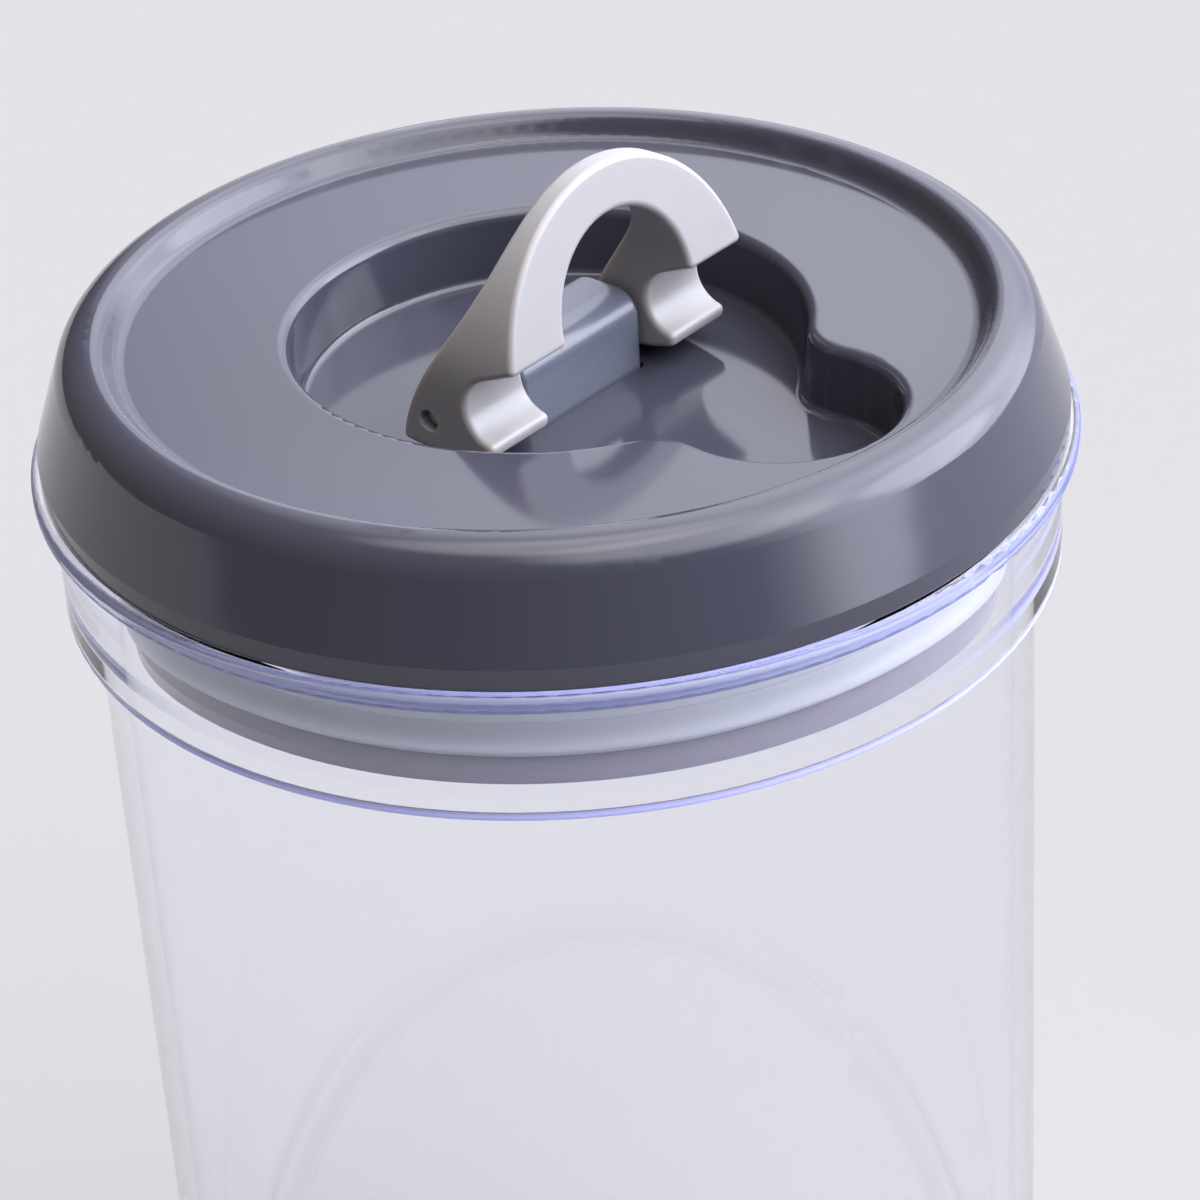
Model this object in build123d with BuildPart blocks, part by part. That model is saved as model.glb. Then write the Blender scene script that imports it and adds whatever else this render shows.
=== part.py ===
from build123d import *
import math
import os

# Lever-lid storage canister.
# The origin is the middle of the base, on the surface that the canister stands on.
# +Z is up along the axis of the round canister. The finger lobe of the lid points to -Y,
# and the pivot pin of the handle lies along X, across the axis.

# Canister sizes
canister_height = 186.0
bore_radius = 52.0
body_wall = 2.4
collar_wall = 5.5
collar_depth = 16.5
step_fillet = 0.5
flange_overhang = 2.0
flange_thickness = 2.2
flange_edge_fillet = 0.8
mouth_chamfer = 0.6
base_thickness = 4.0
base_outer_fillet = 3.0
base_inner_fillet = 4.5
foot_ring_width = 9.4
foot_recess_depth = 1.2

# Handle sizes, with reaches and heights measured from the pin's axis
handle_width = 41.0
handle_gap = 21.5
arch_centre_height = 4.4
finger_arch_height = 8.55
heel_reach = -4.2
heel_height = -3.3
sole_reach = 2.2
sole_height = -3.6
toe_reach = 8.9
toe_height = -2.2
toe_lip_reach = 9.2
toe_lip_height = -0.7
scoop_reach = 5.5
scoop_height = 3.0
notch_reach = 8.1
notch_height = 6.9
palm_reach = 12.4
palm_height = 8.6
tip_front_reach = 9.0
tip_back_reach = 5.9
tip_trim = 0.3
waist_reach = 4.6
waist_height = 13.6
nape_reach = -1.1
nape_height = 4.6
handle_edge_fillet = 0.7

# Pivot pin sizes, with the height measured from the rim of the canister
pin_height = 8.7
pin_radius = 1.25
pin_end_recess = 1.2
pin_end_chamfer = 0.25

# Lid cover sizes
cover_flat_height = 12.0
crest_rise = 2.6
crest_valley_width = 3.5
shoulder_radius = 4.6
brim_inset = 1.1
brim_reach = 7.4
brim_band_height = 2.6
brim_edge_fillet = 0.35
cover_wall = 2.2
well_finger_room = 8.7
well_depth = 8.5
well_draft_angle = 4.0
well_rim_fillet = 1.3
well_floor_fillet = 1.0
lobe_radius = 12.8
lobe_margin = 1.4
lobe_blend_radius = 7.0
slot_corner_radius = 1.2
boss_radius = 3.4
boss_gap = 0.4
boss_count = 6
boss_foot_height = 0.6

# Seal carrier sizes
carrier_gap = 1.6
carrier_deck_thickness = 2.4
carrier_skirt_thickness = 4.6
seal_top_depth = 5.0
locating_lip_thickness = 1.4
locating_lip_depth = 0.9
guide_wall = 1.8
guide_depth = 2.2

# Lifting block sizes, with the top height measured from the pin's axis
block_side_gap = 0.45
block_width = 10.0
block_top_height = 4.2
block_top_fillet = 3.2
block_end_fillet = 0.9
stem_end_inset = 2.3
stem_side_inset = 1.4

# Sealing ring sizes
ring_height = 6.9
ring_lip = 1.4
ring_wall_gap = 0.7
ring_band_inset = 0.4
ring_band_height = 2.5
ring_groove_depth = 0.8
ring_groove_height = 0.9
ring_wall_thickness = 1.6

# Clamp plate sizes
plate_gap = 1.6
plate_thickness = 2.0
plate_rim_height = 2.7
plate_rim_chamfer = 1.1
plate_hub_margin = 5.0
plate_hub_height = 3.6
plate_upstand_thickness = 1.4
plate_upstand_height = 1.3

# Screw sizes
screw_shank_radius = 1.2
screw_head_radius = 2.5
screw_head_height = 1.6
screw_slot_width = 0.8
screw_slot_depth = 0.7
carrier_screw_bite = 5.6
plate_screw_bite = 5.0
plate_screw_inset = 3.5
pilot_tip_gap = 1.0

# Clearances
slide_clearance = 0.35
block_rest_gap = 0.3
ring_clearance = 0.2
pin_clearance = 0.05
screw_clearance = 0.05
head_clearance = 0.3
cut_overrun = 1.0

# Radii that follow from these sizes
body_radius = bore_radius + body_wall
collar_radius = bore_radius + collar_wall
flange_radius = collar_radius + flange_overhang
foot_ring_radius = body_radius - foot_ring_width
brim_radius = flange_radius - brim_inset
crest_radius = brim_radius - brim_reach
valley_radius = crest_radius - crest_valley_width
well_radius = handle_width / 2 + well_finger_room
lobe_offset = valley_radius - lobe_margin - lobe_radius
carrier_radius = bore_radius - carrier_gap
lip_inner_radius = carrier_radius - carrier_skirt_thickness
lip_outer_radius = lip_inner_radius + locating_lip_thickness
boss_circle_radius = lip_inner_radius - boss_radius - boss_gap
ring_bulge_radius = bore_radius - ring_wall_gap
ring_band_radius = carrier_radius - ring_band_inset
ring_groove_radius = ring_band_radius - ring_groove_depth
ring_wall_radius = ring_band_radius - ring_wall_thickness
ring_inner_radius = lip_outer_radius + ring_clearance
plate_radius = bore_radius - plate_gap
upstand_outer_radius = lip_inner_radius - ring_clearance
upstand_inner_radius = upstand_outer_radius - plate_upstand_thickness

# Lengths and widths that follow from these sizes
block_length = handle_gap - block_side_gap * 2
stem_length = block_length - stem_end_inset * 2
stem_width = block_width - stem_side_inset * 2
plate_hub_radius = stem_length / 2 + plate_hub_margin
plate_screw_spacing = stem_length - plate_screw_inset * 2
tip_height = arch_centre_height + handle_width / 2 + tip_trim
carrier_screw_length = carrier_deck_thickness + carrier_screw_bite
plate_screw_grip = plate_thickness + plate_hub_height - screw_head_height
plate_screw_length = plate_screw_grip + plate_screw_bite

# Levels above the surface that the canister stands on
rim_level = canister_height
step_level = rim_level - collar_depth
inner_floor_level = foot_recess_depth + base_thickness
flat_level = rim_level + cover_flat_height
crest_level = flat_level + crest_rise
well_floor_level = flat_level - well_depth
pin_level = rim_level + pin_height
deck_top_level = rim_level + boss_foot_height
deck_bottom_level = deck_top_level - carrier_deck_thickness
block_foot_level = deck_top_level + block_rest_gap
seal_top_level = rim_level - seal_top_depth
ring_top_level = seal_top_level - ring_clearance
ring_bottom_level = ring_top_level - ring_height
plate_rim_level = ring_bottom_level - ring_clearance
plate_bottom_level = plate_rim_level - plate_rim_height
plate_web_level = plate_bottom_level + plate_thickness
stem_foot_level = plate_web_level + plate_hub_height

# Spots of the screws, seen from above
boss_spots = PolarLocations(boss_circle_radius, boss_count)
plate_screw_spots = GridLocations(plate_screw_spacing, 0, 2, 1)

os.makedirs("parts", exist_ok=True)


def corner_at(radius, level):
    """The corner of the sketch in work that lies nearest to a radius and a level."""
    return vertices().sort_by_distance((radius, level))[0]


def well_outline(growth):
    """The round well and its finger lobe, grown outwards, with the two waist corners blended."""
    Circle(well_radius)
    with Locations((0, -lobe_offset)):
        Circle(lobe_radius)
    offset(amount=lobe_blend_radius)
    offset(amount=growth - lobe_blend_radius)


def slotted_screws(spots, seat_level, length):
    """Slotted screws that point up from a seat, one at each of the given spots."""
    with BuildPart() as screws:
        with BuildSketch(Plane.XY.offset(seat_level)):
            with spots:
                Circle(screw_shank_radius)
        extrude(amount=length)
        with BuildSketch(Plane.XY.offset(seat_level)):
            with spots:
                Circle(screw_head_radius)
        extrude(amount=-screw_head_height)
        with BuildSketch(Plane.XY.offset(seat_level - screw_head_height)):
            with spots:
                Rectangle(screw_head_radius * 2, screw_slot_width)
        extrude(amount=screw_slot_depth, mode=Mode.SUBTRACT)
    return screws


# Canister: a clear jar with a thick collar, a flange round its mouth and a recessed base
with BuildPart() as canister:
    with BuildSketch(Plane.XZ):
        with BuildLine():
            Polyline(
                (0, foot_recess_depth),
                (foot_ring_radius, foot_recess_depth),
                (foot_ring_radius, 0),
                (body_radius, 0),
                (body_radius, step_level),
                (collar_radius, step_level),
                (collar_radius, rim_level - flange_thickness),
                (flange_radius, rim_level - flange_thickness),
                (flange_radius, rim_level),
                (bore_radius + mouth_chamfer, rim_level),
                (bore_radius, rim_level - mouth_chamfer),
                (bore_radius, inner_floor_level),
                (0, inner_floor_level),
                close=True,
            )
        make_face()
        fillet(corner_at(body_radius, 0), base_outer_fillet)
        fillet(corner_at(bore_radius, inner_floor_level), base_inner_fillet)
        fillet(corner_at(collar_radius, step_level), step_fillet)
        fillet(corner_at(flange_radius, rim_level), flange_edge_fillet)
        fillet(corner_at(flange_radius, rim_level - flange_thickness), flange_edge_fillet)
    revolve(axis=Axis.Z)


# Lid cover: a moulded shell with a raised rim, a sloping brim and a well with a finger lobe
shoulder_level = crest_level - shoulder_radius
inner_shoulder_radius = shoulder_radius - cover_wall
band_level = rim_level + brim_band_height
band_reach = brim_radius - crest_radius
band_drop = shoulder_level - band_level
band_turn = math.acos(shoulder_radius / math.hypot(band_reach, band_drop))
brim_slope = band_turn - math.atan2(band_drop, band_reach)
brim_slope_angle = math.degrees(brim_slope)
slope_top_radius = crest_radius + shoulder_radius * math.cos(brim_slope)
slope_top_level = shoulder_level + shoulder_radius * math.sin(brim_slope)
inner_slope_radius = crest_radius + inner_shoulder_radius * math.cos(brim_slope)
inner_slope_level = shoulder_level + inner_shoulder_radius * math.sin(brim_slope)
inner_brim_radius = brim_radius - cover_wall / math.cos(brim_slope)

with BuildPart() as lid_cover:
    with BuildSketch(Plane.XZ):
        with BuildLine():
            Line((0, flat_level), (valley_radius, flat_level))
            Spline(
                (valley_radius, flat_level),
                (crest_radius, crest_level),
                tangents=((1, 0), (1, 0)),
            )
            CenterArc((crest_radius, shoulder_level), shoulder_radius, 90, brim_slope_angle - 90)
            Polyline(
                (slope_top_radius, slope_top_level),
                (brim_radius, band_level),
                (brim_radius, rim_level),
                (inner_brim_radius, rim_level),
                (inner_brim_radius, band_level),
                (inner_slope_radius, inner_slope_level),
            )
            CenterArc(
                (crest_radius, shoulder_level),
                inner_shoulder_radius,
                brim_slope_angle,
                90 - brim_slope_angle,
            )
            Spline(
                (crest_radius, crest_level - cover_wall),
                (valley_radius, flat_level - cover_wall),
                tangents=((-1, 0), (-1, 0)),
            )
            Polyline(
                (valley_radius, flat_level - cover_wall),
                (0, flat_level - cover_wall),
                (0, flat_level),
            )
        make_face()
        fillet(corner_at(brim_radius, rim_level), brim_edge_fillet)
        fillet(corner_at(brim_radius, band_level), brim_edge_fillet)
    revolve(axis=Axis.Z)
    with BuildSketch(Plane.XY.offset(flat_level - cover_wall)):
        well_outline(cover_wall)
    extrude(amount=-well_depth, taper=well_draft_angle)
    with BuildSketch(Plane.XY.offset(flat_level)):
        well_outline(0)
    extrude(amount=-well_depth, taper=well_draft_angle, mode=Mode.SUBTRACT)
    with BuildSketch(Plane.XY.offset(deck_top_level)):
        with boss_spots:
            Circle(boss_radius)
            Circle(screw_shank_radius + screw_clearance, mode=Mode.SUBTRACT)
    extrude(amount=flat_level - cover_wall - deck_top_level)
    flat_face = faces().filter_by(Axis.Z).group_by(Axis.Z)[-1].sort_by(SortBy.AREA)[-1]
    fillet(flat_face.inner_wires()[0].edges(), well_rim_fillet)
    well_floor = faces().filter_by(Axis.Z).filter_by_position(
        Axis.Z, well_floor_level - screw_clearance, well_floor_level + screw_clearance
    )[0]
    fillet(well_floor.outer_wire().edges(), well_floor_fillet)
    with BuildSketch(Plane.XY.offset(well_floor_level)):
        RectangleRounded(
            block_length + slide_clearance * 2,
            block_width + slide_clearance * 2,
            slot_corner_radius,
        )
    extrude(amount=-cover_wall - cut_overrun, mode=Mode.SUBTRACT)


# Seal carrier: a deck under the cover, a skirt that holds the ring, and a guide for the stem
with BuildPart() as seal_carrier:
    with BuildSketch(Plane.XZ):
        with BuildLine():
            Polyline(
                (0, deck_top_level),
                (carrier_radius, deck_top_level),
                (carrier_radius, seal_top_level),
                (lip_outer_radius, seal_top_level),
                (lip_outer_radius, seal_top_level - locating_lip_depth),
                (lip_inner_radius, seal_top_level - locating_lip_depth),
                (lip_inner_radius, deck_bottom_level),
                (0, deck_bottom_level),
                close=True,
            )
        make_face()
    revolve(axis=Axis.Z)
    with BuildSketch(Plane.XY.offset(deck_bottom_level)):
        Rectangle(
            stem_length + (slide_clearance + guide_wall) * 2,
            stem_width + (slide_clearance + guide_wall) * 2,
        )
    extrude(amount=-guide_depth)
    with BuildSketch(Plane.XY.offset(deck_top_level)):
        Rectangle(stem_length + slide_clearance * 2, stem_width + slide_clearance * 2)
        with boss_spots:
            Circle(screw_shank_radius + screw_clearance)
    extrude(amount=-carrier_deck_thickness - guide_depth, mode=Mode.SUBTRACT)


# Carrier screws: driven up through the deck into the bosses of the cover
carrier_screws = slotted_screws(boss_spots, deck_bottom_level, carrier_screw_length)


# Lifting block: a round-topped head between the ears, and a stem that runs down to the plate
with BuildPart() as lift_block:
    with BuildSketch(Plane.XY.offset(block_foot_level)):
        Rectangle(block_length, block_width)
    extrude(amount=pin_level + block_top_height - block_foot_level)
    fillet(edges().filter_by(Axis.X).group_by(Axis.Z)[-1], block_top_fillet)
    fillet(faces().sort_by(Axis.X)[0].outer_wire().edges().group_by(Axis.Z)[1:], block_end_fillet)
    fillet(faces().sort_by(Axis.X)[-1].outer_wire().edges().group_by(Axis.Z)[1:], block_end_fillet)
    with BuildSketch(Plane.XY.offset(block_foot_level)):
        Rectangle(stem_length, stem_width)
    extrude(amount=stem_foot_level - block_foot_level)
    with BuildSketch(Plane.YZ):
        with Locations((0, pin_level)):
            Circle(pin_radius)
    extrude(amount=block_length, both=True, mode=Mode.SUBTRACT)
    with BuildSketch(Plane.XY.offset(stem_foot_level)):
        with plate_screw_spots:
            Circle(screw_shank_radius + screw_clearance)
    extrude(amount=plate_screw_bite + pilot_tip_gap, mode=Mode.SUBTRACT)


# Pivot pin: a plain steel pin, pressed into the block, that ends below the faces of the ears
with BuildPart() as pivot_pin:
    with BuildSketch(Plane.YZ):
        with Locations((0, pin_level)):
            Circle(pin_radius)
    extrude(amount=handle_width / 2 - pin_end_recess, both=True)
    chamfer(edges().group_by(Axis.X)[0] + edges().group_by(Axis.X)[-1], pin_end_chamfer)


# Handle: a side profile with cam feet, cut to an arch as seen from the front
def side_point(reach, height):
    """A point of the handle's side profile. Reach runs from the pin towards the finger lobe."""
    return (-reach, pin_level + height)


with BuildPart() as lever_handle:
    with BuildSketch(Plane.YZ):
        with BuildLine():
            ThreePointArc(
                side_point(heel_reach, heel_height),
                side_point(sole_reach, sole_height),
                side_point(toe_reach, toe_height),
            )
            Line(side_point(toe_reach, toe_height), side_point(toe_lip_reach, toe_lip_height))
            ThreePointArc(
                side_point(toe_lip_reach, toe_lip_height),
                side_point(scoop_reach, scoop_height),
                side_point(notch_reach, notch_height),
            )
            Polyline(
                side_point(notch_reach, notch_height),
                side_point(palm_reach, palm_height),
                side_point(tip_front_reach, tip_height),
                side_point(tip_back_reach, tip_height),
            )
            Spline(
                side_point(tip_back_reach, tip_height),
                side_point(waist_reach, waist_height),
                side_point(nape_reach, nape_height),
                side_point(heel_reach, heel_height),
            )
        make_face()
    extrude(amount=handle_width / 2, both=True)
    with BuildSketch(Plane.XZ):
        with Locations((0, pin_level + arch_centre_height)):
            Circle(handle_width / 2)
            Rectangle(handle_width, tip_height, align=(Align.CENTER, Align.MAX))
        with Locations((0, pin_level + finger_arch_height)):
            Circle(handle_gap / 2, mode=Mode.SUBTRACT)
            Rectangle(handle_gap, tip_height, align=(Align.CENTER, Align.MAX), mode=Mode.SUBTRACT)
    extrude(amount=handle_width, both=True, mode=Mode.INTERSECT)
    fillet(edges(), handle_edge_fillet)
    with BuildSketch(Plane.YZ):
        with Locations((0, pin_level)):
            Circle(pin_radius + pin_clearance)
    extrude(amount=handle_width, both=True, mode=Mode.SUBTRACT)


# Clamp plate: a disc with a raised rim under the ring and a hub that meets the stem
with BuildPart() as clamp_plate:
    with BuildSketch(Plane.XZ):
        with BuildLine():
            Polyline(
                (0, plate_bottom_level),
                (plate_radius, plate_bottom_level),
                (plate_radius, plate_rim_level - plate_rim_chamfer),
                (plate_radius - plate_rim_chamfer, plate_rim_level),
                (upstand_outer_radius, plate_rim_level),
                (upstand_outer_radius, plate_rim_level + plate_upstand_height),
                (upstand_inner_radius, plate_rim_level + plate_upstand_height),
                (upstand_inner_radius, plate_web_level),
                (plate_hub_radius, plate_web_level),
                (plate_hub_radius, stem_foot_level),
                (0, stem_foot_level),
                close=True,
            )
        make_face()
    revolve(axis=Axis.Z)
    with BuildSketch(Plane.XY.offset(plate_bottom_level)):
        with plate_screw_spots:
            Circle(screw_head_radius + head_clearance)
    extrude(amount=screw_head_height, mode=Mode.SUBTRACT)
    with BuildSketch(Plane.XY.offset(plate_bottom_level)):
        with plate_screw_spots:
            Circle(screw_shank_radius + screw_clearance)
    extrude(amount=stem_foot_level - plate_bottom_level, mode=Mode.SUBTRACT)


# Plate screws: driven up through the hub of the plate into the stem
plate_screws = slotted_screws(
    plate_screw_spots,
    plate_bottom_level + screw_head_height,
    plate_screw_length,
)


# Sealing ring: a soft ring, open towards the axis, that bulges outwards when it is squeezed
band_foot_level = ring_top_level - ring_band_height
bulge_top_level = band_foot_level - ring_groove_height
bulge_level = (bulge_top_level + ring_bottom_level) / 2

with BuildPart() as seal_ring:
    with BuildSketch(Plane.XZ):
        with BuildLine():
            Polyline(
                (ring_inner_radius, ring_top_level),
                (ring_band_radius, ring_top_level),
                (ring_band_radius, band_foot_level),
                (ring_groove_radius, (band_foot_level + bulge_top_level) / 2),
                (ring_band_radius, bulge_top_level),
            )
            ThreePointArc(
                (ring_band_radius, bulge_top_level),
                (ring_bulge_radius, bulge_level),
                (ring_band_radius, ring_bottom_level),
            )
            Polyline(
                (ring_band_radius, ring_bottom_level),
                (ring_inner_radius, ring_bottom_level),
                (ring_inner_radius, ring_bottom_level + ring_lip),
                (ring_wall_radius, ring_bottom_level + ring_lip),
                (ring_wall_radius, ring_top_level - ring_lip),
                (ring_inner_radius, ring_top_level - ring_lip),
                (ring_inner_radius, ring_top_level),
            )
        make_face()
    revolve(axis=Axis.Z)


pieces = {
    "canister": canister,
    "lid_cover": lid_cover,
    "seal_carrier": seal_carrier,
    "carrier_screws": carrier_screws,
    "lift_block": lift_block,
    "pivot_pin": pivot_pin,
    "lever_handle": lever_handle,
    "clamp_plate": clamp_plate,
    "plate_screws": plate_screws,
    "seal_ring": seal_ring,
}
for name, piece in pieces.items():
    piece.part.label = name
    export_step(piece.part, "parts/" + name + ".step")
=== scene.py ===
import math

import bpy
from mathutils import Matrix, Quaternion, Vector


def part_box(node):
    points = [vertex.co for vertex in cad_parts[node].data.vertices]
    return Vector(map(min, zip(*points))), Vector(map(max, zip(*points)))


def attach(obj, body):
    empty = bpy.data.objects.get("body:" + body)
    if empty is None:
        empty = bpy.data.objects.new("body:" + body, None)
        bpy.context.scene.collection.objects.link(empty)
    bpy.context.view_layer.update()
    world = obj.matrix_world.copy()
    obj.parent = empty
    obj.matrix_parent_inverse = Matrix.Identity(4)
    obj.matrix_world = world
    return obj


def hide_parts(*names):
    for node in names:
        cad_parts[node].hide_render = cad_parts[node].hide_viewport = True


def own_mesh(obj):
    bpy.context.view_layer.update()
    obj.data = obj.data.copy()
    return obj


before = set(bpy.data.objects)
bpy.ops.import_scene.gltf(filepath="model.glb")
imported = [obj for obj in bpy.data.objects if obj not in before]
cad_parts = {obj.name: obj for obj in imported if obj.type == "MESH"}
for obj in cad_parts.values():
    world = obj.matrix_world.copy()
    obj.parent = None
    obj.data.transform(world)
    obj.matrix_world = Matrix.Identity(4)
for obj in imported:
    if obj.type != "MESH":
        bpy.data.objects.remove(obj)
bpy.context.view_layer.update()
ring_low, ring_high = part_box("seal_ring")
jar_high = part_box("canister")[1]

# Places of the camera and the studio, in metres
camera_place = Vector((-0.2939, -0.2642, 0.4012))
camera_aim = Vector((-0.0054, -0.0099, 0.1675))
camera_roll = math.radians(-3.71)
camera_lens = 118.56
camera_sensor = 36.0
floor_reach = 6.0
backdrop = (0.78, 0.78, 0.81, 1)
room_dim = (0.055, 0.045, 0.04, 1)

# Soft lights of the room, as the camera sees it: direction, angles of the edge and the core, and colour
room_lights = [
    # From the right, broad, with a brighter middle
    ((0.70, -0.70, 0.36), 56, 26, (3.1, 3.15, 3.5, 1)),
    ((0.70, -0.70, 0.40), 24, 14, (3.6, 3.65, 4.1, 1)),
    # From the far side, low and wide, then high and narrow
    ((0.97, -0.26, 0.05), 75, 60, (1.35, 1.38, 1.6, 1)),
    ((0.62, 0.10, 0.80), 42, 12, (2.0, 2.0, 2.1, 1)),
    # From high in front, and from overhead
    ((-0.08, -0.55, 0.80), 34, 12, (3.6, 3.6, 3.8, 1)),
    ((0, 0, 1), 27, 8, (3.4, 3.3, 3.35, 1)),
    # From the left, faint and warm
    ((-0.66, 0.75, 0.55), 72, 30, (0.12, 0.08, 0.03, 1)),
]

# Sizes of the soft sealing ring, in metres
ring_bulge_depth = 0.0013
ring_groove_depth = 0.0004
ring_groove_height = 0.0009
ring_band_height = 0.0023
ring_wall_thickness = 0.0016
ring_lip_reach = 0.001
ring_lip = 0.0014
ring_corner = 0.0004
ring_steps = 192
bulge_steps = 14
smooth_angle = math.radians(40)

# Radii and levels of the ring that follow from the frame
ring_top = ring_high.z
ring_foot = ring_low.z
ring_bulge = ring_high.x
ring_band = ring_bulge - ring_bulge_depth
ring_groove = ring_band - ring_groove_depth
ring_wall = ring_band - ring_wall_thickness
ring_inner = ring_wall - ring_lip_reach
ring_band_foot = ring_top - ring_band_height
ring_bulge_top = ring_band_foot - ring_groove_height

# Where light is painted into the edges of the acrylic, as diffuse colour for the highlight and refraction
# seen there: depths below the flange's rim and the mouth, in metres
edge_softness = 0.0004
rim_depth = 0.0007
rim_top_depth = 0.0009
body_depth = 0.0049
ledge_depth = 0.0155
ledge_softness = 0.0003
painted_rim_share = 0.36
painted_rim_highlight_share = 0.42
painted_ledge_share = 0.75

# Colours
lid_grey = (0.045, 0.046, 0.065, 1)
carrier_grey = (0.25, 0.24, 0.29, 1)
block_grey = (0.098, 0.11, 0.148, 1)
handle_pearl = (0.305, 0.302, 0.31, 1)
ring_silicone = (0.53, 0.55, 0.61, 1)
acrylic_clear = (0.99, 0.992, 1.0, 1)
acrylic_depth = (0.4, 0.5, 0.96, 1)
acrylic_through = (0.88, 0.87, 0.84, 1)
# Painted refraction: the lid's blue-grey seen through the flange's rim, put in as a diffuse colour
painted_rim_refraction = (0.22, 0.27, 0.66, 1)
# Painted highlight along the top edge of the flange's rim
painted_rim_highlight = (0.3, 0.3, 0.35, 1)
# Painted light along the collar's ledge, where the clear wall shows a bright lavender line
painted_ledge_light = (0.5, 0.52, 0.92, 1)
steel = (0.62, 0.61, 0.60, 1)
floor_white = (0.308, 0.306, 0.302, 1)

# Shares of each colour's darkest and lightest shade
plastic_shade_shares = (0.96, 1.05)
silicone_shade_shares = (0.95, 1.06)
pearl_shade_shares = (0.96, 1.04)
floor_shade_shares = (0.99, 1.0)

# Roughness at its smoothest and at its roughest
lid_gloss = (0.07, 0.13)
block_gloss = (0.22, 0.32)
carrier_gloss = (0.2, 0.3)
acrylic_gloss = (0.0, 0.03)
silicone_gloss = (0.3, 0.45)
pearl_gloss = (0.3, 0.4)
steel_gloss = (0.22, 0.42)
floor_roughness = 0.7

# Noise of the surfaces: scale, detail and, where it is stretched, its scale along each axis
plastic_cloud = (28, 4)
plastic_scuff = (260, 6, (1, 0.15, 1))
plastic_wave = (42, 1)
plastic_grain = (900, 3)
acrylic_haze = (60, 5)
acrylic_wave = (35, 1, (1, 1, 0.35))
silicone_cloud = (60, 3)
silicone_scuff = (500, 3)
silicone_grain = (1500, 2)
pearl_cloud = (45, 4)
pearl_scuff = (320, 4)
pearl_wave = (60, 1)
pearl_grain = (1600, 2)
steel_lines = (900, 4, (0.08, 1, 1))
floor_grain = (120, 5)

# Bumps of the surfaces: strength, and depth in metres
plastic_wave_bump = (0.05, 0.0006)
plastic_grain_bump = (0.03, 0.00002)
acrylic_wave_bump = (0.03, 0.0004)
silicone_grain_bump = (0.05, 0.00003)
pearl_wave_bump = (0.05, 0.0004)
pearl_grain_bump = (0.04, 0.00002)
steel_line_bump = (0.1, 0.00003)

# Light inside the materials
acrylic_bending = 1.49
acrylic_density = 10.0
silicone_scatter = (0.2, (1.0, 1.0, 1.0), 0.001)
pearl_scatter = (0.45, (1.0, 0.66, 0.42), 0.003)

# Sockets of the colour mix node
mix_factor, mix_first, mix_second = 0, 6, 7
mix_result = 2


def blank_material(name):
    """A material with a Principled shader, returned with its node tree and that shader."""
    material = bpy.data.materials.new(name)
    material.use_nodes = True
    tree = material.node_tree
    return material, tree, tree.nodes["Principled BSDF"]


def noise_of(tree, scale, detail, stretch=(1, 1, 1)):
    """Noise in the object's own coordinates, with an optional stretch along its axes."""
    place = tree.nodes.new("ShaderNodeTexCoord")
    mapping = tree.nodes.new("ShaderNodeMapping")
    mapping.inputs["Scale"].default_value = stretch
    noise = tree.nodes.new("ShaderNodeTexNoise")
    noise.inputs["Scale"].default_value = scale
    noise.inputs["Detail"].default_value = detail
    tree.links.new(place.outputs["Object"], mapping.inputs["Vector"])
    tree.links.new(mapping.outputs["Vector"], noise.inputs["Vector"])
    return noise.outputs["Fac"]


def spread(tree, factor, low, high):
    """A factor from 0 to 1 mapped to a range of values."""
    ranged = tree.nodes.new("ShaderNodeMapRange")
    ranged.inputs["To Min"].default_value = low
    ranged.inputs["To Max"].default_value = high
    tree.links.new(factor, ranged.inputs["Value"])
    return ranged.outputs["Result"]


def shade(colour, share):
    """The same colour, lighter or darker by a share."""
    return tuple(min(1.0, part * share) for part in colour[:3]) + (1,)


def clouded(tree, noise, colour, shade_shares):
    """A colour that drifts between its darkest and its lightest shade."""
    mix = tree.nodes.new("ShaderNodeMix")
    mix.data_type = "RGBA"
    for socket, share in zip((mix_first, mix_second), shade_shares):
        mix.inputs[socket].default_value = shade(colour, share)
    tree.links.new(noise_of(tree, *noise), mix.inputs[mix_factor])
    return mix.outputs[mix_result]


def bumps(tree, shader, heights):
    """A chain of bumps, each one a height field with its strength and its depth."""
    normal = None
    for height, strength, depth in heights:
        bump = tree.nodes.new("ShaderNodeBump")
        bump.inputs["Strength"].default_value = strength
        bump.inputs["Distance"].default_value = depth
        tree.links.new(height, bump.inputs["Height"])
        if normal is not None:
            tree.links.new(normal, bump.inputs["Normal"])
        normal = bump.outputs["Normal"]
    tree.links.new(normal, shader.inputs["Normal"])


def scatter_light(shader, weight, radius, scale):
    """Light that enters the surface and scatters inside."""
    shader.inputs["Subsurface Weight"].default_value = weight
    shader.inputs["Subsurface Radius"].default_value = radius
    shader.inputs["Subsurface Scale"].default_value = scale


def moulded_plastic(name, colour, gloss):
    """Injection-moulded plastic: faint clouding, uneven gloss, soft sink waves and fine grain."""
    material, tree, shader = blank_material(name)
    colours = clouded(tree, plastic_cloud, colour, plastic_shade_shares)
    tree.links.new(colours, shader.inputs["Base Color"])
    tree.links.new(spread(tree, noise_of(tree, *plastic_scuff), *gloss), shader.inputs["Roughness"])
    wave = noise_of(tree, *plastic_wave)
    grain = noise_of(tree, *plastic_grain)
    bumps(tree, shader, [(wave, *plastic_wave_bump), (grain, *plastic_grain_bump)])
    return material


def step_up(tree, value, low, high):
    """0 at one limit and 1 at the other, with a smooth step between them."""
    ramp = tree.nodes.new("ShaderNodeMapRange")
    ramp.interpolation_type = "SMOOTHSTEP"
    ramp.inputs["From Min"].default_value = low
    ramp.inputs["From Max"].default_value = high
    tree.links.new(value, ramp.inputs["Value"])
    return ramp.outputs["Result"]


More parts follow.
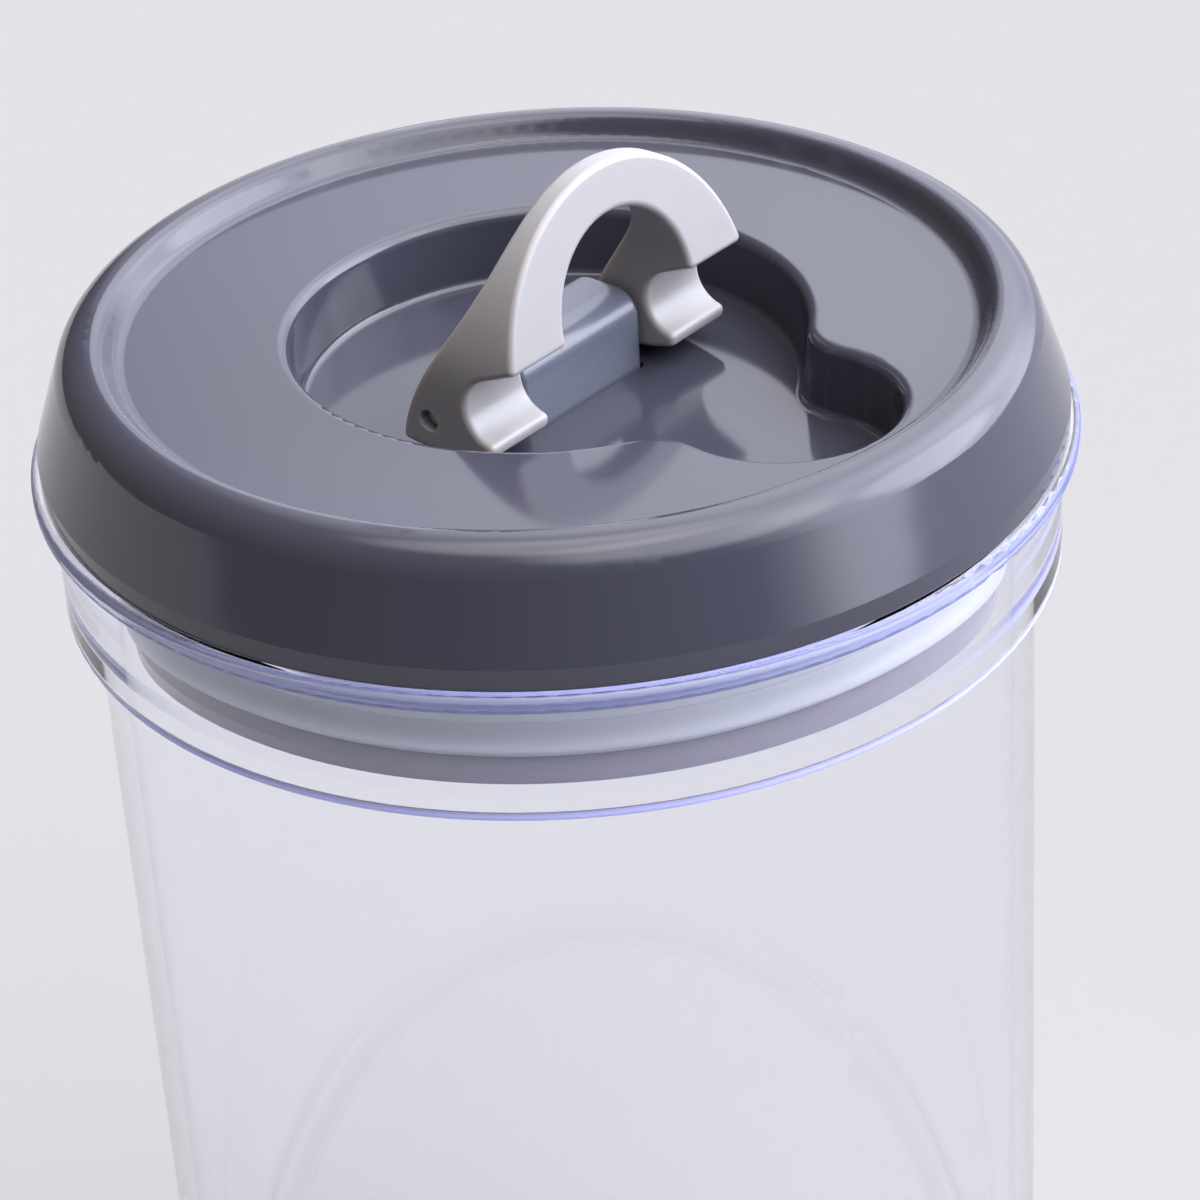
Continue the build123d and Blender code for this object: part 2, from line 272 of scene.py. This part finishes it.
def combine(tree, operation, *values):
    """The result of a math operation on sockets and plain numbers."""
    node = tree.nodes.new("ShaderNodeMath")
    node.operation = operation
    for slot, value in zip(node.inputs, values):
        if isinstance(value, float):
            slot.default_value = value
        else:
            tree.links.new(value, slot)
    return node.outputs["Value"]


def painted_edge_masks(tree):
    """How far a point takes painted light, as the flange's outer rim, as the top of that rim and as the
    collar's ledge.
    """
    place = tree.nodes.new("ShaderNodeTexCoord")
    split = tree.nodes.new("ShaderNodeSeparateXYZ")
    tree.links.new(place.outputs["Object"], split.inputs["Vector"])
    x, y, level = split.outputs
    squares = combine(tree, "ADD", combine(tree, "MULTIPLY", x, x), combine(tree, "MULTIPLY", y, y))
    radius = combine(tree, "SQRT", squares)
    rim_start = jar_high.x - rim_depth
    body_start = jar_high.x - body_depth
    ledge_start = jar_high.z - ledge_depth
    rim_top_start = jar_high.z - rim_top_depth
    rim = step_up(tree, radius, rim_start, rim_start + edge_softness)
    outside_body = step_up(tree, radius, body_start, body_start + edge_softness)
    under_collar = step_up(tree, level, ledge_start, ledge_start - ledge_softness)
    near_mouth = step_up(tree, level, rim_top_start, rim_top_start + edge_softness)
    rim_top = combine(tree, "MULTIPLY", rim, near_mouth)
    ledge = combine(tree, "MULTIPLY", outside_body, under_collar)
    shares = ((rim, painted_rim_share), (rim_top, painted_rim_highlight_share), (ledge, painted_ledge_share))
    return [combine(tree, "MULTIPLY", mask, share) for mask, share in shares]


def mix_shaders(tree, factor, first, second):
    """Two shaders mixed by a factor."""
    mix = tree.nodes.new("ShaderNodeMixShader")
    tree.links.new(factor, mix.inputs["Fac"])
    tree.links.new(first, mix.inputs[1])
    tree.links.new(second, mix.inputs[2])
    return mix.outputs["Shader"]


def clear_acrylic():
    """Clear acrylic, water-white through the wall, blue along it, with painted light on the flange's rim,
    the rim's top and the collar's ledge, and letting the room's light through.
    """
    material, tree, shader = blank_material("clear_acrylic")
    shader.inputs["Base Color"].default_value = acrylic_clear
    shader.inputs["Transmission Weight"].default_value = 1.0
    shader.inputs["IOR"].default_value = acrylic_bending
    haze = noise_of(tree, *acrylic_haze)
    tree.links.new(spread(tree, haze, *acrylic_gloss), shader.inputs["Roughness"])
    bumps(tree, shader, [(noise_of(tree, *acrylic_wave), *acrylic_wave_bump)])
    depth = tree.nodes.new("ShaderNodeVolumeAbsorption")
    depth.inputs["Color"].default_value = acrylic_depth
    depth.inputs["Density"].default_value = acrylic_density
    surface = shader.outputs["BSDF"]
    # Diffuse colour mixed into the clear surface at its edges: painted refraction on the rim, a painted
    # highlight on its top and painted light on the ledge
    for mask, colour in zip(painted_edge_masks(tree), (painted_rim_refraction, painted_rim_highlight, painted_ledge_light)):
        glow = tree.nodes.new("ShaderNodeBsdfDiffuse")
        glow.inputs["Color"].default_value = colour
        surface = mix_shaders(tree, mask, surface, glow.outputs["BSDF"])
    through = tree.nodes.new("ShaderNodeBsdfTransparent")
    through.inputs["Color"].default_value = acrylic_through
    path = tree.nodes.new("ShaderNodeLightPath")
    surface = mix_shaders(tree, path.outputs["Is Shadow Ray"], surface, through.outputs["BSDF"])
    output = tree.nodes["Material Output"]
    tree.links.new(depth.outputs["Volume"], output.inputs["Volume"])
    tree.links.new(surface, output.inputs["Surface"])
    return material


def silicone():
    """Soft silicone, a little cloudy inside, with a fine matt skin."""
    material, tree, shader = blank_material("soft_silicone")
    colours = clouded(tree, silicone_cloud, ring_silicone, silicone_shade_shares)
    tree.links.new(colours, shader.inputs["Base Color"])
    scatter_light(shader, *silicone_scatter)
    scuff = noise_of(tree, *silicone_scuff)
    tree.links.new(spread(tree, scuff, *silicone_gloss), shader.inputs["Roughness"])
    bumps(tree, shader, [(noise_of(tree, *silicone_grain), *silicone_grain_bump)])
    return material


def pearl_plastic():
    """Pale handle plastic, slightly translucent at its edges, with a satin skin."""
    material, tree, shader = blank_material("handle_pearl")
    colours = clouded(tree, pearl_cloud, handle_pearl, pearl_shade_shares)
    tree.links.new(colours, shader.inputs["Base Color"])
    scatter_light(shader, *pearl_scatter)
    scuff = noise_of(tree, *pearl_scuff)
    tree.links.new(spread(tree, scuff, *pearl_gloss), shader.inputs["Roughness"])
    wave = noise_of(tree, *pearl_wave)
    grain = noise_of(tree, *pearl_grain)
    bumps(tree, shader, [(wave, *pearl_wave_bump), (grain, *pearl_grain_bump)])
    return material


def drawn_steel():
    """Plain drawn steel with fine lines along the wire."""
    material, tree, shader = blank_material("drawn_steel")
    shader.inputs["Base Color"].default_value = steel
    shader.inputs["Metallic"].default_value = 1.0
    lines = noise_of(tree, *steel_lines)
    tree.links.new(spread(tree, lines, *steel_gloss), shader.inputs["Roughness"])
    bumps(tree, shader, [(lines, *steel_line_bump)])
    return material


def dress(node, material):
    """The CAD node keeps its shape and takes a material."""
    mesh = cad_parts[node].data
    mesh.materials.clear()
    mesh.materials.append(material)


# Materials of the solids that keep their shape
dress("canister", clear_acrylic())
dress("lid_cover", moulded_plastic("lid_grey", lid_grey, lid_gloss))
dress("lift_block", moulded_plastic("block_grey", block_grey, block_gloss))
dress("lever_handle", pearl_plastic())
carrier = moulded_plastic("carrier_grey", carrier_grey, carrier_gloss)
for node in ("seal_carrier", "clamp_plate"):
    dress(node, carrier)
metal = drawn_steel()
for node in ("pivot_pin", "carrier_screws", "plate_screws"):
    dress(node, metal)


# The sealing ring: soft, so its solid is replaced by a turned piece, attached to the lid
def ring_outline():
    """The ring's section from its inner top edge, round the outside and back up the inside."""
    bulge_height = ring_bulge_top - ring_foot - ring_corner
    points = [
        (ring_inner, ring_top),
        (ring_band - ring_corner, ring_top),
        (ring_band, ring_top - ring_corner),
        (ring_band, ring_band_foot),
        (ring_groove, (ring_band_foot + ring_bulge_top) / 2),
    ]
    for step in range(bulge_steps + 1):
        share = step / bulge_steps
        swell = ring_bulge_depth * math.sin(math.pi * share)
        points.append((ring_band + swell, ring_bulge_top - bulge_height * share))
    points += [
        (ring_band - ring_corner, ring_foot),
        (ring_inner, ring_foot),
        (ring_inner, ring_foot + ring_lip),
        (ring_wall, ring_foot + ring_lip),
        (ring_wall, ring_top - ring_lip),
        (ring_inner, ring_top - ring_lip),
    ]
    return points


def turned(name, outline, steps):
    """A closed outline of radii and levels, turned about the axis of the canister."""
    points = []
    for step in range(steps):
        angle = math.tau * step / steps
        points += [(radius * math.cos(angle), radius * math.sin(angle), level) for radius, level in outline]
    count = len(outline)
    faces = []
    for step in range(steps):
        here = step * count
        beyond = (step + 1) % steps * count
        for corner in range(count):
            following = (corner + 1) % count
            faces.append((here + corner, here + following, beyond + following, beyond + corner))
    mesh = bpy.data.meshes.new(name)
    mesh.from_pydata(points, [], faces)
    mesh.polygons.foreach_set("use_smooth", [True] * len(mesh.polygons))
    mesh.set_sharp_from_angle(angle=smooth_angle)
    piece = bpy.data.objects.new(name, mesh)
    bpy.context.scene.collection.objects.link(piece)
    return piece


soft_ring = turned("soft_ring", ring_outline(), ring_steps)
soft_ring.data.materials.append(silicone())
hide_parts("seal_ring")
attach(soft_ring, "lid")
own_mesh(soft_ring)


# Studio
def floor():
    """A wide pale floor of matt paper."""
    mesh = bpy.data.meshes.new("floor")
    r = floor_reach
    mesh.from_pydata([(-r, -r, 0), (r, -r, 0), (r, r, 0), (-r, r, 0)], [], [(0, 1, 2, 3)])
    piece = bpy.data.objects.new("floor", mesh)
    bpy.context.scene.collection.objects.link(piece)
    material, tree, shader = blank_material("floor_paper")
    colours = clouded(tree, floor_grain, floor_white, floor_shade_shares)
    tree.links.new(colours, shader.inputs["Base Color"])
    shader.inputs["Roughness"].default_value = floor_roughness
    shader.inputs["Specular IOR Level"].default_value = 0.0
    mesh.materials.append(material)


def lobe(tree, direction, edge, core, colour):
    """Soft light from one direction: none beyond its edge, and full inside its core, in degrees."""
    place = tree.nodes.new("ShaderNodeTexCoord")
    along = tree.nodes.new("ShaderNodeVectorMath")
    along.operation = "DOT_PRODUCT"
    along.inputs[1].default_value = Vector(direction).normalized()
    tree.links.new(place.outputs["Generated"], along.inputs[0])
    low = math.cos(math.radians(edge))
    high = math.cos(math.radians(core))
    glow = tree.nodes.new("ShaderNodeBackground")
    glow.inputs["Color"].default_value = colour
    tree.links.new(step_up(tree, along.outputs["Value"], low, high), glow.inputs["Strength"])
    return glow.outputs["Background"]


def studio_world():
    """A dim room with soft lights, and a pale backdrop that is seen directly and through the clear wall."""
    world = bpy.data.worlds.new("studio")
    bpy.context.scene.world = world
    world.use_nodes = True
    tree = world.node_tree
    room = tree.nodes["Background"]
    room.inputs["Color"].default_value = room_dim
    light = room.outputs["Background"]
    for direction, edge, core, colour in room_lights:
        add = tree.nodes.new("ShaderNodeAddShader")
        tree.links.new(light, add.inputs[0])
        tree.links.new(lobe(tree, direction, edge, core, colour), add.inputs[1])
        light = add.outputs["Shader"]
    pale = tree.nodes.new("ShaderNodeBackground")
    pale.inputs["Color"].default_value = backdrop
    path = tree.nodes.new("ShaderNodeLightPath")
    seen = combine(tree, "MAXIMUM", path.outputs["Is Camera Ray"], path.outputs["Is Transmission Ray"])
    surface = mix_shaders(tree, seen, light, pale.outputs["Background"])
    tree.links.new(surface, tree.nodes["World Output"].inputs["Surface"])


floor()
studio_world()

# Camera at the photograph's viewing angle
camera_data = bpy.data.cameras.new("camera")
camera_data.lens = camera_lens
camera_data.sensor_width = camera_sensor
camera = bpy.data.objects.new("camera", camera_data)
bpy.context.scene.collection.objects.link(camera)
camera.location = camera_place
camera.rotation_mode = "QUATERNION"
level_view = (camera_aim - camera_place).to_track_quat("-Z", "Y")
camera.rotation_quaternion = level_view @ Quaternion((0, 0, 1), camera_roll)
bpy.context.scene.camera = camera
bpy.context.scene.view_settings.view_transform = "Standard"
